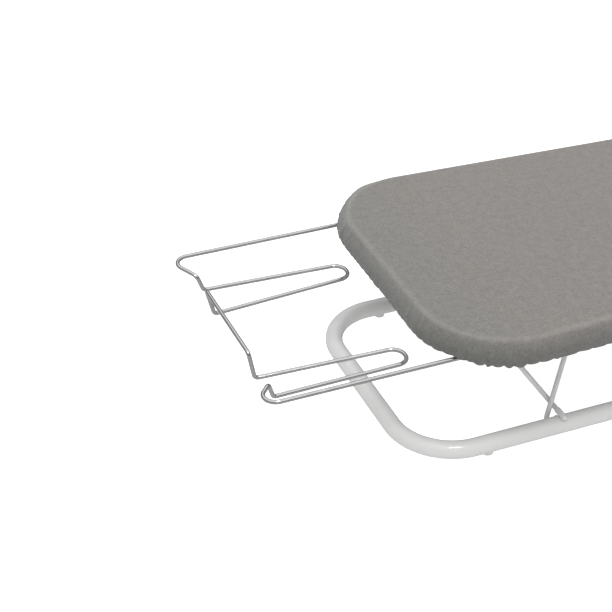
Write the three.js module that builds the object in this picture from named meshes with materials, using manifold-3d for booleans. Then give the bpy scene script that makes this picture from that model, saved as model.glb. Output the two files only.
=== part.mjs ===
// Table-top ironing board: a tubular ring base, two pairs of crossing wire legs that fold flat,
// a steel board with felt pad and gathered cover, and a sliding wire rest for the iron.
// Millimetres, +Z up. The group's origin is under the middle of the whole object, on the table.
import * as THREE from "three";
import { mergeVertices } from "three/addons/utils/BufferGeometryUtils.js";
import Module from "manifold-3d";

const wasm = await Module();
wasm.setup();

// ---------------------------------------------------------------- driving dimensions
// Bench frame: X runs from the centre line of the ring's blunt-end tube towards the nose, Z from the table.
const GAP = 0.3; // running clearance between neighbours

const TUBE_R = 9; // base ring tube
const TUBE_WALL = 1.2;
const RING_LENGTH = 560; // centre line to centre line
const RING_WIDTH = 254;
const RING_CORNER = 60;
const SEAM_GAP = 0.4; // butt joint of the bent tube
const FERRULE_LENGTH = 44;
const PAD_THICK = 3; // foot pad under the tube
const PAD_R = 5.4;
const PAD_STEM_R = 1.9;
const PAD_INSET = 74; // from the ring's ends
const TUBE_Z = PAD_THICK + TUBE_R;

const LEG_WIRE_R = 2.5;
const STATION_PITCH = 285; // from one pair of legs to the other
const LINK_FOOT_X = 144;
const LINK_LEAN = 10.33; // degrees towards the nose
const LINK_TOP_Z = 118;
const LINK_Y = 114.5; // half spacing of the link's side rods
const LINK_STUB_Y = 123;
const BRACE_FOOT_X = 152.6;
const BRACE_FOOT_Z = 24.6;
const BRACE_LEAN = -35.7; // degrees, towards the blunt end
const BRACE_TOP_Z = 106;
const BRACE_Y = 108.5;
const BRACE_STUB_Y = 131.4;
const LEG_TOP_BEND = 10;
const LINK_FOOT_BEND = 3.2;
const BRACE_FOOT_BEND = 5;

const BLUNT_X = 13; // cover's outer edge at the blunt end
const NOSE_X = 743;
const HALF_WIDTH = 165;
const TAPER = 0.045; // how fast each side comes in from the blunt corner towards the nose
const BLUNT_CORNER = 88;
const SHOULDER_X = 360; // where the sides start to curve in to the nose
const SHOULDER_REACH = 160; // how far the nose curve follows the side's own direction
const NOSE_BLUNTNESS = 90; // half width that the nose's tip holds before it turns back
const COVER_TOP_Z = 153;
const HEM_Z = 129.6;
const SHEET_TOP_Z = 144.2;
const SHEET_THICK = 1.2;
const SHEET_BOTTOM_Z = SHEET_TOP_Z - SHEET_THICK;
const RIM_BOTTOM_Z = 128.4;

const REST_WIRE_R = 2;
const RAIL_Y = 129.3;
const RAIL_Z = 125.5;
const REST_TIP_X = -152.8; // the wire's centre line, farthest from the board
const GUIDE_X = [62, 122]; // start of each rail guide
const GUIDE_LENGTH = 12;
const STOP_LENGTH = 6;

const REAR_X = REST_TIP_X - REST_WIRE_R;
const CENTRE_X = (REAR_X + NOSE_X) / 2; // middle of the whole object in the bench frame

// ---------------------------------------------------------------- materials
const finish = (color, roughness, metalness) =>
  new THREE.MeshStandardMaterial({ color, roughness, metalness });
const painted = finish(0xd4d4d1, 0.35, 0.1);
const galvanised = finish(0xb9bbbb, 0.45, 0.8);
const chrome = finish(0xc9c9c7, 0.15, 1);
const whitePlastic = finish(0xe2e2df, 0.5, 0);
const felt = finish(0xe6e2d8, 0.95, 0);
const fabric = finish(0x8f8b86, 0.9, 0);
const elastic = finish(0xdad7cf, 0.85, 0);

// ---------------------------------------------------------------- shape helpers
const vec = (x, y, z) => new THREE.Vector3(x, y, z);
const radians = THREE.MathUtils.degToRad;

function circle(radius, sides, x = 0, y = 0) {
  return Array.from({ length: sides }, (_, i) => {
    const angle = ((i + 0.5) / sides) * Math.PI * 2;
    return new THREE.Vector2(x + radius * Math.cos(angle), y + radius * Math.sin(angle));
  });
}

function shapeOf(points, ...holes) {
  const shape = new THREE.Shape(points);
  shape.holes = holes.map((hole) => new THREE.Path(hole));
  return shape;
}

// A wire's centre line: straight stretches joined by true arcs, with a section only where it bends.
class WirePath extends THREE.Curve {
  constructor(corners, bends, arcSteps) {
    super();
    this.stations = [];
    this.tangents = [];
    const last = corners.length - 1;
    this.add(corners[0], corners[1].clone().sub(corners[0]).normalize());
    for (let i = 1; i < last; i++) {
      this.addBend(corners[i - 1], corners[i], corners[i + 1], bends[i - 1], arcSteps);
    }
    this.add(corners[last], corners[last].clone().sub(corners[last - 1]).normalize());
    this.steps = this.stations.length - 1;
  }

  add(point, tangent) {
    this.stations.push(point.clone());
    this.tangents.push(tangent.clone());
  }

  addBend(before, corner, after, radius, arcSteps) {
    const into = corner.clone().sub(before).normalize();
    const out = after.clone().sub(corner).normalize();
    const turn = into.angleTo(out);
    const setback = radius * Math.tan(turn / 2);
    const start = corner.clone().addScaledVector(into, -setback);
    const towardsCentre = out.clone().addScaledVector(into, -out.dot(into)).normalize();
    const count = Math.max(2, Math.ceil((arcSteps * turn) / (Math.PI / 2)));
    for (let k = 0; k <= count; k++) {
      const angle = (turn * k) / count;
      const point = start.clone()
        .addScaledVector(into, radius * Math.sin(angle))
        .addScaledVector(towardsCentre, radius * (1 - Math.cos(angle)));
      const tangent = into.clone().multiplyScalar(Math.cos(angle))
        .addScaledVector(towardsCentre, Math.sin(angle));
      this.add(point, tangent);
    }
  }

  getSpacedPoints() {
    return this.stations;
  }

  getPointAt(u, target = vec(0, 0, 0)) {
    return target.copy(this.stations[Math.round(u * this.steps)]);
  }

  getTangentAt(u, target = vec(0, 0, 0)) {
    return target.copy(this.tangents[Math.round(u * this.steps)]);
  }
}

function sweep(section, corners, bends, arcSteps = 5) {
  const extrudePath = new WirePath(corners, bends, arcSteps);
  return new THREE.ExtrudeGeometry(section, { extrudePath, steps: extrudePath.steps, bevelEnabled: false });
}

// Upright prism from z0 to z1.
function prism(shape, z0, z1) {
  return new THREE.ExtrudeGeometry(shape, { depth: z1 - z0, bevelEnabled: false }).translate(0, 0, z0);
}

// Profile drawn as (y, z), extruded along X.
function alongX(shape, x0, x1) {
  return new THREE.ExtrudeGeometry(shape, { depth: x1 - x0, bevelEnabled: false })
    .rotateY(Math.PI / 2).rotateX(Math.PI / 2).translate(x0, 0, 0);
}

// Profile drawn as (x, z), extruded along Y.
function alongY(shape, y0, y1) {
  return new THREE.ExtrudeGeometry(shape, { depth: y1 - y0, bevelEnabled: false })
    .rotateX(Math.PI / 2).translate(0, y1, 0);
}

function toManifold(geometry) {
  const bare = geometry.clone();
  bare.deleteAttribute("normal");
  bare.deleteAttribute("uv");
  const merged = mergeVertices(bare, 1e-4);
  return new wasm.Manifold(new wasm.Mesh({
    numProp: 3,
    vertProperties: new Float32Array(merged.attributes.position.array),
    triVerts: new Uint32Array(merged.index.array),
  }));
}

function fromManifold(solid) {
  const mesh = solid.getMesh();
  const geometry = new THREE.BufferGeometry();
  geometry.setAttribute("position", new THREE.BufferAttribute(mesh.vertProperties, 3));
  geometry.setIndex(new THREE.BufferAttribute(mesh.triVerts, 1));
  geometry.computeVertexNormals();
  return geometry;
}

function cut(geometry, ...tools) {
  return fromManifold(tools.reduce((solid, tool) => solid.subtract(toManifold(tool)), toManifold(geometry)));
}

function join(...geometries) {
  return fromManifold(geometries.map(toManifold).reduce((whole, solid) => whole.add(solid)));
}

const root = new THREE.Group();
root.position.x = -CENTRE_X;

function piece(name, geometry, material, parent = root) {
  const mesh = new THREE.Mesh(geometry, material);
  mesh.name = name;
  parent.add(mesh);
  return mesh;
}

const SIDES = [["near", -1], ["far", 1]];
const STATIONS = [["left", 0], ["right", STATION_PITCH]];

// ---------------------------------------------------------------- board outline
// Half of the outer outline with its outward normals, from the blunt end's middle to the nose.
function halfOutline() {
  const points = [];
  const cornerX = BLUNT_X + BLUNT_CORNER;
  const cornerY = HALF_WIDTH - BLUNT_CORNER;
  const cornerTurn = Math.PI / 2 + Math.atan(TAPER);
  const cornerSteps = 8;
  for (let i = 0; i <= cornerSteps; i++) {
    const angle = (i / cornerSteps) * cornerTurn;
    const [c, s] = [Math.cos(angle), Math.sin(angle)];
    points.push({ x: cornerX - BLUNT_CORNER * c, y: cornerY + BLUNT_CORNER * s, nx: -c, ny: s });
  }
  const cornerEnd = points[points.length - 1];
  const shoulderY = cornerEnd.y - TAPER * (SHOULDER_X - cornerEnd.x);
  const nose = new THREE.CubicBezierCurve(
    new THREE.Vector2(SHOULDER_X, shoulderY),
    new THREE.Vector2(SHOULDER_X + SHOULDER_REACH, shoulderY - SHOULDER_REACH * TAPER),
    new THREE.Vector2(NOSE_X, NOSE_BLUNTNESS),
    new THREE.Vector2(NOSE_X, 0),
  );
  const noseSteps = 15;
  for (let i = 0; i <= noseSteps; i++) {
    const point = nose.getPoint(i / noseSteps);
    const tangent = nose.getTangent(i / noseSteps);
    points.push({ x: point.x, y: point.y, nx: -tangent.y, ny: tangent.x });
  }
  return points;
}

// The whole outline, moved in by the inset, counter-clockwise.
function outline(inset) {
  const half = halfOutline();
  const upper = half.map((p) => new THREE.Vector2(p.x - inset * p.nx, p.y - inset * p.ny));
  const lower = half.slice(0, -1).map((p) => new THREE.Vector2(p.x - inset * p.nx, -p.y + inset * p.ny));
  return [...lower, ...upper.reverse()];
}

function isInside(x, y, polygon) {
  let inside = false;
  polygon.forEach((a, i) => {
    const b = polygon[(i + 1) % polygon.length];
    const crosses = a.y > y !== b.y > y;
    if (crosses && x < ((b.x - a.x) * (y - a.y)) / (b.y - a.y) + a.x) {
      inside = !inside;
    }
  });
  return inside;
}

// ---------------------------------------------------------------- base ring
const HALF_RING = RING_WIDTH / 2;
const SEAM_X = RING_LENGTH / 2;
const ringCorners = [
  vec(SEAM_X + SEAM_GAP / 2, HALF_RING, TUBE_Z),
  vec(RING_LENGTH, HALF_RING, TUBE_Z),
  vec(RING_LENGTH, -HALF_RING, TUBE_Z),
  vec(0, -HALF_RING, TUBE_Z),
  vec(0, HALF_RING, TUBE_Z),
  vec(SEAM_X - SEAM_GAP / 2, HALF_RING, TUBE_Z),
];
const tubeSection = shapeOf(circle(TUBE_R, 16), circle(TUBE_R - TUBE_WALL, 12));
const bentTube = sweep(tubeSection, ringCorners, Array(4).fill(RING_CORNER), 7);
const PAD_X = [["left", PAD_INSET], ["right", RING_LENGTH - PAD_INSET]];
const pivotHoles = STATIONS.flatMap(([, dx]) => SIDES.map(([, side]) => {
  const hole = new THREE.CylinderGeometry(LEG_WIRE_R + 2 * GAP, LEG_WIRE_R + 2 * GAP, 8, 12);
  return hole.translate(LINK_FOOT_X + dx, side * (HALF_RING - TUBE_R), TUBE_Z);
}));
const stemHoles = PAD_X.flatMap(([, x]) => SIDES.map(([, side]) => {
  const hole = new THREE.CylinderGeometry(PAD_STEM_R + GAP, PAD_STEM_R + GAP, 6, 10).rotateX(Math.PI / 2);
  return hole.translate(x, side * HALF_RING, PAD_THICK);
}));
piece("base_ring_tube", cut(bentTube, ...pivotHoles, ...stemHoles), painted);

const ferruleR = TUBE_R - TUBE_WALL - 2 * GAP;
const ferrule = new THREE.CylinderGeometry(ferruleR, ferruleR, FERRULE_LENGTH, 12).rotateZ(Math.PI / 2);
piece("ring_joint_ferrule", ferrule.translate(SEAM_X, HALF_RING, TUBE_Z), galvanised);

// Push-in foot pad: a round sole whose top is hollowed to the tube, on a stem that enters the tube.
function footPad() {
  const soleTop = PAD_THICK + 2.2;
  const outlinePoints = [[0, 0], [PAD_R - 1, 0], [PAD_R, 1], [PAD_R, soleTop], [0, soleTop]];
  const sole = new THREE.LatheGeometry(outlinePoints.map(([r, z]) => new THREE.Vector2(r, z)), 16);
  const tubeSpace = new THREE.CylinderGeometry(TUBE_R + 0.2, TUBE_R + 0.2, 30, 32).rotateZ(Math.PI / 2);
  const stem = new THREE.CylinderGeometry(PAD_STEM_R, PAD_STEM_R, 6, 10).rotateX(Math.PI / 2);
  return join(
    cut(sole.rotateX(Math.PI / 2), tubeSpace.translate(0, 0, TUBE_Z)),
    stem.translate(0, 0, PAD_THICK + 2),
  );
}
for (const [end, x] of PAD_X) {
  for (const [sideName, side] of SIDES) {
    piece(`foot_pad_${end}_${sideName}`, footPad().translate(x, side * HALF_RING, 0), whitePlastic);
  }
}

// ---------------------------------------------------------------- folding legs
const legSection = shapeOf(circle(LEG_WIRE_R, 8));

// Portal of wire: a stub, up one side, across, down the other side and out to the other stub.
function portal(footX, footZ, lean, topZ, halfSpan, stubY, footBend) {
  const topX = footX + (topZ - footZ) * Math.tan(radians(lean));
  const corners = [
    vec(footX, -stubY, footZ),
    vec(footX, -halfSpan, footZ),
    vec(topX, -halfSpan, topZ),
    vec(topX, halfSpan, topZ),
    vec(footX, halfSpan, footZ),
    vec(footX, stubY, footZ),
  ];
  return sweep(legSection, corners, [footBend, LEG_TOP_BEND, LEG_TOP_BEND, footBend], 4);
}

for (const [station, dx] of STATIONS) {
  const link = portal(LINK_FOOT_X, TUBE_Z, LINK_LEAN, LINK_TOP_Z, LINK_Y, LINK_STUB_Y, LINK_FOOT_BEND);
  piece(`link_frame_${station}`, link.translate(dx, 0, 0), painted);
  const brace = portal(
    BRACE_FOOT_X, BRACE_FOOT_Z, BRACE_LEAN, BRACE_TOP_Z, BRACE_Y, BRACE_STUB_Y, BRACE_FOOT_BEND,
  );
  piece(`brace_frame_${station}`, brace.translate(dx, 0, 0), painted);
}

// Sleeve welded across the tube's crest, in which a brace's stub turns.
function braceSleeve(x, side) {
  const [inner, outer] = [118.5, 130.8];
  const bore = LEG_WIRE_R + 0.35;
  const ring = shapeOf(circle(bore + 0.8, 12, x, BRACE_FOOT_Z), circle(bore, 12, x, BRACE_FOOT_Z));
  const [y0, y1] = side > 0 ? [inner, outer] : [-outer, -inner];
  const clearance = new THREE.CylinderGeometry(TUBE_R + 0.2, TUBE_R + 0.2, 30, 24).rotateZ(Math.PI / 2);
  return cut(alongY(ring, y0, y1), clearance.translate(x, side * HALF_RING, TUBE_Z));
}
for (const [station, dx] of STATIONS) {
  for (const [sideName, side] of SIDES) {
    piece(`brace_sleeve_${station}_${sideName}`, braceSleeve(BRACE_FOOT_X + dx, side), painted);
  }
}

// ---------------------------------------------------------------- steel board
const RIM_OUTER = 5;
const RIM_INNER = 6.5;
const rimSection = shapeOf(outline(RIM_OUTER), outline(RIM_INNER));
piece("board_rim", prism(rimSection, RIM_BOTTOM_Z, SHEET_TOP_Z + GAP), painted);

// Steam vents: a staggered field of six-sided holes.
function ventHoles() {
  const [pitchX, pitchY, radius] = [46, 42, 9];
  const field = outline(24);
  const holes = [];
  for (let column = 0; column < 16; column++) {
    for (let row = -4; row <= 4; row++) {
      const x = BLUNT_X + 30 + column * pitchX;
      const y = (row + (column % 2) / 2) * pitchY;
      if (isInside(x, y, field)) {
        holes.push(circle(radius, 6, x, y).reverse());
      }
    }
  }
  return holes;
}
const sheet = shapeOf(outline(RIM_INNER + GAP), ...ventHoles());
piece("board_sheet", prism(sheet, SHEET_BOTTOM_Z, SHEET_TOP_Z), galvanised);

// Two long channels under the sheet carry the legs' fittings.
const RAIL_HALF = 14;
const CHANNEL_Y = 76;
const CHANNEL_TOP_Z = SHEET_BOTTOM_Z - GAP;
const CHANNEL_BOTTOM_Z = 133;
const CHANNEL_X = [70, 600];
const CHANNEL_WALL = 1.2;
function channelProfile(y) {
  const [w, t] = [RAIL_HALF, CHANNEL_WALL];
  const [lo, hi] = [CHANNEL_BOTTOM_Z, CHANNEL_TOP_Z];
  const corners = [
    [-w, lo], [w, lo], [w, hi], [w - t, hi], [w - t, lo + t], [t - w, lo + t], [t - w, hi], [-w, hi],
  ];
  return shapeOf(corners.map(([dy, z]) => new THREE.Vector2(y + dy, z)));
}
for (const [sideName, side] of SIDES) {
  piece(`channel_${sideName}`, alongX(channelProfile(side * CHANNEL_Y), ...CHANNEL_X), painted);
}

// Flat cross bars that stiffen both ends of the sheet.
const BAR_THICK = 3;
for (const [name, x, halfSpan] of [["cross_bar_blunt", 30, 106], ["cross_bar_nose", 606, 84]]) {
  const bar = new THREE.BoxGeometry(16, 2 * halfSpan, BAR_THICK);
  piece(name, bar.translate(x + 8, 0, SHEET_BOTTOM_Z - GAP - BAR_THICK / 2), painted);
}

// ---------------------------------------------------------------- leg fittings under the board
const FITTING_TOP_Z = CHANNEL_BOTTOM_Z - GAP;
const linkTopX = LINK_FOOT_X + (LINK_TOP_Z - TUBE_Z) * Math.tan(radians(LINK_LEAN));
const braceTopX = BRACE_FOOT_X + (BRACE_TOP_Z - BRACE_FOOT_Z) * Math.tan(radians(BRACE_LEAN));

// Clip that holds a link's cross rod: a flanged plate with a round eye.
function linkClip() {
  const [flange, web, below] = [9, 5, 5];
  const corners = [
    [-flange, FITTING_TOP_Z], [-flange, FITTING_TOP_Z - 2.5], [-web, FITTING_TOP_Z - 2.5],
    [-web, LINK_TOP_Z], [-3.5, LINK_TOP_Z - below], [3.5, LINK_TOP_Z - below], [web, LINK_TOP_Z],
    [web, FITTING_TOP_Z - 2.5], [flange, FITTING_TOP_Z - 2.5], [flange, FITTING_TOP_Z],
  ];
  const points = corners.map(([dx, z]) => new THREE.Vector2(linkTopX + dx, z));
  return shapeOf(points, circle(LEG_WIRE_R + GAP + 0.1, 12, linkTopX, LINK_TOP_Z));
}

// Hook that a brace's cross rod thrusts into: open towards the nose and downwards.
function braceHook() {
  const seat = LEG_WIRE_R + GAP + 0.1;
  const shape = new THREE.Shape();
  shape.moveTo(braceTopX - 11, FITTING_TOP_Z);
  shape.lineTo(braceTopX - 8, BRACE_TOP_Z - 4);
  shape.lineTo(braceTopX - 4, BRACE_TOP_Z - 5);
  shape.absarc(braceTopX, BRACE_TOP_Z, seat, radians(225), radians(50), true);
  shape.lineTo(braceTopX + 7, BRACE_TOP_Z + 8);
  shape.lineTo(braceTopX + 12, FITTING_TOP_Z);
  return new THREE.Shape(shape.getPoints(6));
}
const CLIP_Y = [63, 75];
const HOOK_Y = [82, 86];
for (const [station, dx] of STATIONS) {
  for (const [sideName, side] of SIDES) {
    const span = ([a, b]) => (side > 0 ? [a, b] : [-b, -a]);
    const clip = alongY(linkClip(), ...span(CLIP_Y)).translate(dx, 0, 0);
    piece(`link_clip_${station}_${sideName}`, clip, whitePlastic);
    const hook = alongY(braceHook(), ...span(HOOK_Y)).translate(dx, 0, 0);
    piece(`brace_hook_${station}_${sideName}`, hook, galvanised);
  }
}

// Rivet heads under the channels.
const RIVET_X = [82, 250, 420, 588];
for (const [sideName, side] of SIDES) {
  RIVET_X.forEach((x, index) => {
    const head = new THREE.CylinderGeometry(3.2, 2.2, 1.4, 10).rotateX(Math.PI / 2);
    head.translate(x, side * CHANNEL_Y, CHANNEL_BOTTOM_Z - GAP - 0.7);
    piece(`rivet_${sideName}_${index + 1}`, head, galvanised);
  });
}

// ---------------------------------------------------------------- pad and cover
piece("felt_pad", prism(shapeOf(outline(12)), SHEET_TOP_Z + 0.6, COVER_TOP_Z - 3.4), felt);

// Slab with a rounded upper edge; its lower half is cut off at the stated height.
function crownedSlab(inset, topZ, round, bottomZ) {
  const depth = 40;
  const slab = new THREE.ExtrudeGeometry(shapeOf(outline(inset + round)), {
    depth, bevelSize: round, bevelThickness: round, bevelSegments: 3,
  }).translate(0, 0, topZ - round - depth);
  const below = new THREE.BoxGeometry(1000, 500, 100).translate(CENTRE_X, 0, bottomZ - 50);
  return cut(slab, below);
}
const COVER_WALL = 4.3;
const HEM_WALL = 2;
const HEM_DEPTH = 4;
const hollow = crownedSlab(COVER_WALL, COVER_TOP_Z - 3, 7, HEM_Z - 1);
const hemHollow = prism(shapeOf(outline(HEM_WALL)), HEM_Z - 1, HEM_Z + HEM_DEPTH);
piece("cover", cut(crownedSlab(0, COVER_TOP_Z, 9, HEM_Z), hollow, hemHollow), fabric);
const hemBand = shapeOf(outline(HEM_WALL + GAP), outline(COVER_WALL));
piece("hem_elastic", prism(hemBand, HEM_Z, HEM_Z + HEM_DEPTH - GAP), elastic);

// ---------------------------------------------------------------- iron rest
// One wire, mirrored about the board's middle: rail, end loop, drop, hairpin finger, raised heel bar.
const LOOP_Y = 96;
const RAIL_END_X = GUIDE_X[1] + GUIDE_LENGTH + STOP_LENGTH + 8;
const restHalf = [
  [vec(RAIL_END_X, RAIL_Y, RAIL_Z)],
  [vec(REST_TIP_X, RAIL_Y, RAIL_Z), 16.5],
  [vec(REST_TIP_X, LOOP_Y, RAIL_Z), 10],
  [vec(-138.5, LOOP_Y, RAIL_Z - 0.5), 3.6],
  [vec(-133.5, LOOP_Y - 0.8, 104.7), 4.5],
  [vec(7, 90, 102.6), 12.2],
  [vec(7, 65.4, 102.4), 12.2],
  [vec(-137.3, 56.8, 100.2), 4.5],
  [vec(-144.3, 56, 129.9), 4.5],
];
const restSection = shapeOf(circle(REST_WIRE_R, 8));
const mirrored = restHalf.map(([point, bend]) => [vec(point.x, -point.y, point.z), bend]).reverse();
const restRoute = [...restHalf, ...mirrored];
const restBends = restRoute.slice(1, -1).map(([, bend]) => bend);
piece("iron_rest_wire", sweep(restSection, restRoute.map(([point]) => point), restBends, 3), chrome);

// Guides that the rails slide in, and collars that stop the rest from pulling out.
function railGuide(y) {
  const [halfWeb, halfFoot, below, foot] = [4.6, 10, 4.2, 3];
  const top = SHEET_BOTTOM_Z - GAP;
  const corners = [
    [-halfWeb, RAIL_Z - below], [halfWeb, RAIL_Z - below], [halfWeb, top - foot], [halfFoot, top - foot],
    [halfFoot, top], [-halfFoot, top], [-halfFoot, top - foot], [-halfWeb, top - foot],
  ];
  const points = corners.map(([dy, z]) => new THREE.Vector2(y + dy, z));
  return shapeOf(points, circle(REST_WIRE_R + GAP + 0.1, 12, y, RAIL_Z));
}
for (const [sideName, side] of SIDES) {
  GUIDE_X.forEach((x, index) => {
    const guide = alongX(railGuide(side * RAIL_Y), x, x + GUIDE_LENGTH);
    piece(`rest_guide_${sideName}_${index + 1}`, guide, whitePlastic);
  });
  const ring = (radius) => circle(radius, 12, side * RAIL_Y, RAIL_Z);
  const collar = shapeOf(ring(2 * REST_WIRE_R), ring(REST_WIRE_R + GAP));
  const collarX = GUIDE_X[1] + GUIDE_LENGTH + 0.5;
  piece(`rest_stop_${sideName}`, alongX(collar, collarX, collarX + STOP_LENGTH), whitePlastic);
}

export default root;
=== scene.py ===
"""Looks of a table-top ironing board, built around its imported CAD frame."""

import math
import random

import bmesh
import bpy
import numpy as np
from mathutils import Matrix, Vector


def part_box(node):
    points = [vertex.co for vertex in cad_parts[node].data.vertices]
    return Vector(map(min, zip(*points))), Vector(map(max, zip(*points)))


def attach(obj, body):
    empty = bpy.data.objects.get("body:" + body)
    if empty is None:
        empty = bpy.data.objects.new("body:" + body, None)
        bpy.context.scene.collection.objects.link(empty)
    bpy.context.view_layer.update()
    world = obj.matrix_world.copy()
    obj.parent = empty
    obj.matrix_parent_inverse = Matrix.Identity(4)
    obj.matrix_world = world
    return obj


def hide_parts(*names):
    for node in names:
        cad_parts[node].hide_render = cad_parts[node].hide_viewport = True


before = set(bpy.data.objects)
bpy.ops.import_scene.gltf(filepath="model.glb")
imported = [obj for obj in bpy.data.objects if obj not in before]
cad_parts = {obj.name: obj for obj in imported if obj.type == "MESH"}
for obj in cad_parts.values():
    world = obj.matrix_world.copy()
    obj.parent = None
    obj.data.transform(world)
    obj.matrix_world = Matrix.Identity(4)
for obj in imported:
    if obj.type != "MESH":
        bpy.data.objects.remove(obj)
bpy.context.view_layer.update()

# ------------------------ places
# Bench frame, in millimetres: X from the blunt-end tube's centre line to the nose, Z from the table.
MM = 0.001
RING_LENGTH = 560
ring_low, ring_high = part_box("base_ring_tube")
BENCH_X = (ring_low.x + ring_high.x) / 2 - RING_LENGTH / 2 * MM
SIDES = {"near": -1, "far": 1}
STATIONS = {"left": 0, "right": 285}


def at(x, y, z):
    """A point of the bench frame as a place in the row frame."""
    return Vector((BENCH_X + x * MM, y * MM, z * MM))


# ------------------------ camera, floor and light
VIEW_AZIMUTH = math.radians(-21.964)
VIEW_ELEVATION = math.radians(33.893)
VIEW_DISTANCE = 1.5152
AIM = at(-37.7, 64.3, 79.7)
LENS = 88.235


def direction(azimuth, elevation):
    """Unit vector from the object towards a viewer; azimuth 0 looks along +Y."""
    flat = math.cos(elevation)
    return Vector((math.sin(azimuth) * flat, -math.cos(azimuth) * flat, math.sin(elevation)))


def new_object(name, data):
    made = bpy.data.objects.new(name, data)
    bpy.context.scene.collection.objects.link(made)
    return made


def look_at(thing, place, target):
    """Stands a camera or light at a place and turns it to the target."""
    thing.location = place
    thing.rotation_euler = (place - target).to_track_quat("Z", "Y").to_euler()


def add_camera():
    data = bpy.data.cameras.new("camera")
    data.lens = LENS
    data.sensor_width = 36
    data.clip_end = 60
    camera = new_object("camera", data)
    look_at(camera, AIM + direction(VIEW_AZIMUTH, VIEW_ELEVATION) * VIEW_DISTANCE, AIM)
    bpy.context.scene.camera = camera


def add_softbox(name, azimuth, elevation, distance, size, power):
    """A rectangular light aimed at the blunt half; degrees, metres and watts."""
    data = bpy.data.lights.new(name, "AREA")
    data.shape = "RECTANGLE"
    data.size, data.size_y = size
    data.energy = power
    light = new_object(name, data)
    middle = at(150, 0, 90)
    look_at(light, middle + direction(math.radians(azimuth), math.radians(elevation)) * distance, middle)
    return light


# ------------------------ node helpers
class Graph:
    """A node tree with short calls for the nodes that the materials need."""

    def __init__(self, tree):
        self.tree = tree

    def node(self, kind, inputs=None, **settings):
        made = self.tree.nodes.new(kind)
        for key, value in settings.items():
            setattr(made, key, value)
        for key, value in (inputs or {}).items():
            self.plug(value, made.inputs[key])
        return made

    def plug(self, value, socket):
        if isinstance(value, bpy.types.NodeSocket):
            self.tree.links.new(value, socket)
        else:
            socket.default_value = value

    def math(self, operation, a, b=0.0, c=0.0):
        return self.node("ShaderNodeMath", {0: a, 1: b, 2: c}, operation=operation).outputs[0]

    def ramp(self, value, low, high, to_low=0.0, to_high=1.0):
        made = self.node("ShaderNodeMapRange", {0: value, 1: low, 2: high, 3: to_low, 4: to_high})
        return made.outputs[0]

    def noise(self, vector, scale, detail=2.0, roughness=0.5):
        settings = {"Vector": vector, "Scale": scale, "Detail": detail, "Roughness": roughness}
        return self.node("ShaderNodeTexNoise", settings).outputs["Fac"]

    def stretch(self, vector, scale):
        return self.node("ShaderNodeMapping", {"Vector": vector, "Scale": scale}).outputs[0]

    def mix(self, factor, a, b, blend="MIX"):
        made = self.node("ShaderNodeMix", data_type="RGBA", blend_type=blend)
        for socket, value in zip((made.inputs[0], made.inputs[6], made.inputs[7]), (factor, a, b)):
            self.plug(value, socket)
        return made.outputs[2]

    def choose(self, test, if_zero, if_one):
        return self.node("ShaderNodeMix", {0: test, 2: if_zero, 3: if_one}).outputs[0]

    def bump(self, height, distance, strength=1.0, normal=None):
        inputs = {"Height": height, "Distance": distance, "Strength": strength}
        if normal is not None:
            inputs["Normal"] = normal
        return self.node("ShaderNodeBump", inputs).outputs[0]

    def place(self):
        return self.node("ShaderNodeTexCoord").outputs["Object"]


def new_material(name, constants):
    """A material with one Principled shader, whose constants are set on its own sockets."""
    material = bpy.data.materials.new(name)
    material.use_nodes = True
    graph = Graph(material.node_tree)
    shader = material.node_tree.nodes["Principled BSDF"]
    for key, value in constants.items():
        shader.inputs[key].default_value = value
    return material, graph, shader


def connect(graph, shader, colour, roughness, normal):
    for name, value in (("Base Color", colour), ("Roughness", roughness), ("Normal", normal)):
        graph.plug(value, shader.inputs[name])


def grey(value, warmth=0.0):
    """A linear colour; warmth moves it from blue towards red."""
    return (value * (1 + warmth), value, value * (1 - warmth), 1)


# ------------------------ materials
def make_paint():
    """Glossy light grey powder coat: faint orange peel, a few rubbed spots."""
    constants = {"Metallic": 0.0, "Coat Weight": 0.5, "Coat Roughness": 0.04, "IOR": 1.5}
    material, graph, shader = new_material("powder_coat", constants)
    place = graph.place()
    cloud = graph.noise(place, 9, 3)
    speck = graph.noise(place, 1400, 2)
    rub = graph.ramp(graph.noise(place, 46, 5, 0.62), 0.66, 0.74)
    tone = graph.mix(cloud, grey(0.72, 0.006), grey(0.755, 0.008))
    tone = graph.mix(graph.ramp(speck, 0.35, 0.8, 0, 0.12), tone, grey(0.55))
    tone = graph.mix(graph.math("MULTIPLY", rub, 0.10), tone, grey(0.48))
    rough = graph.ramp(graph.noise(place, 60, 4), 0.3, 0.7, 0.42, 0.52)
    rough = graph.math("ADD", rough, graph.math("MULTIPLY", rub, 0.12))
    peel = graph.noise(place, 420, 2)
    fine = graph.bump(graph.noise(place, 2600, 1), 0.00002, 0.4)
    connect(graph, shader, tone, rough, graph.bump(peel, 0.00006, 0.5, fine))
    return material


def make_zinc():
    """Bright zinc plating over rolled steel, with a soft spangle."""
    material, graph, shader = new_material("zinc_plate", {"Metallic": 1.0})
    place = graph.place()
    spangle = graph.node("ShaderNodeTexVoronoi", {"Vector": place, "Scale": 260.0}).outputs["Color"]
    shade = graph.node("ShaderNodeSeparateColor", {0: spangle}).outputs[0]
    tone = graph.mix(shade, grey(0.50, -0.012), grey(0.62, -0.006))
    stain = graph.ramp(graph.noise(place, 30, 5, 0.6), 0.5, 0.75, 0, 0.35)
    tone = graph.mix(stain, tone, grey(0.46, 0.02))
    rough = graph.ramp(shade, 0, 1, 0.34, 0.48)
    rolled = graph.noise(graph.stretch(place, (60, 1800, 1800)), 1, 3)
    connect(graph, shader, tone, rough, graph.bump(rolled, 0.00002, 0.5))
    return material


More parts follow.
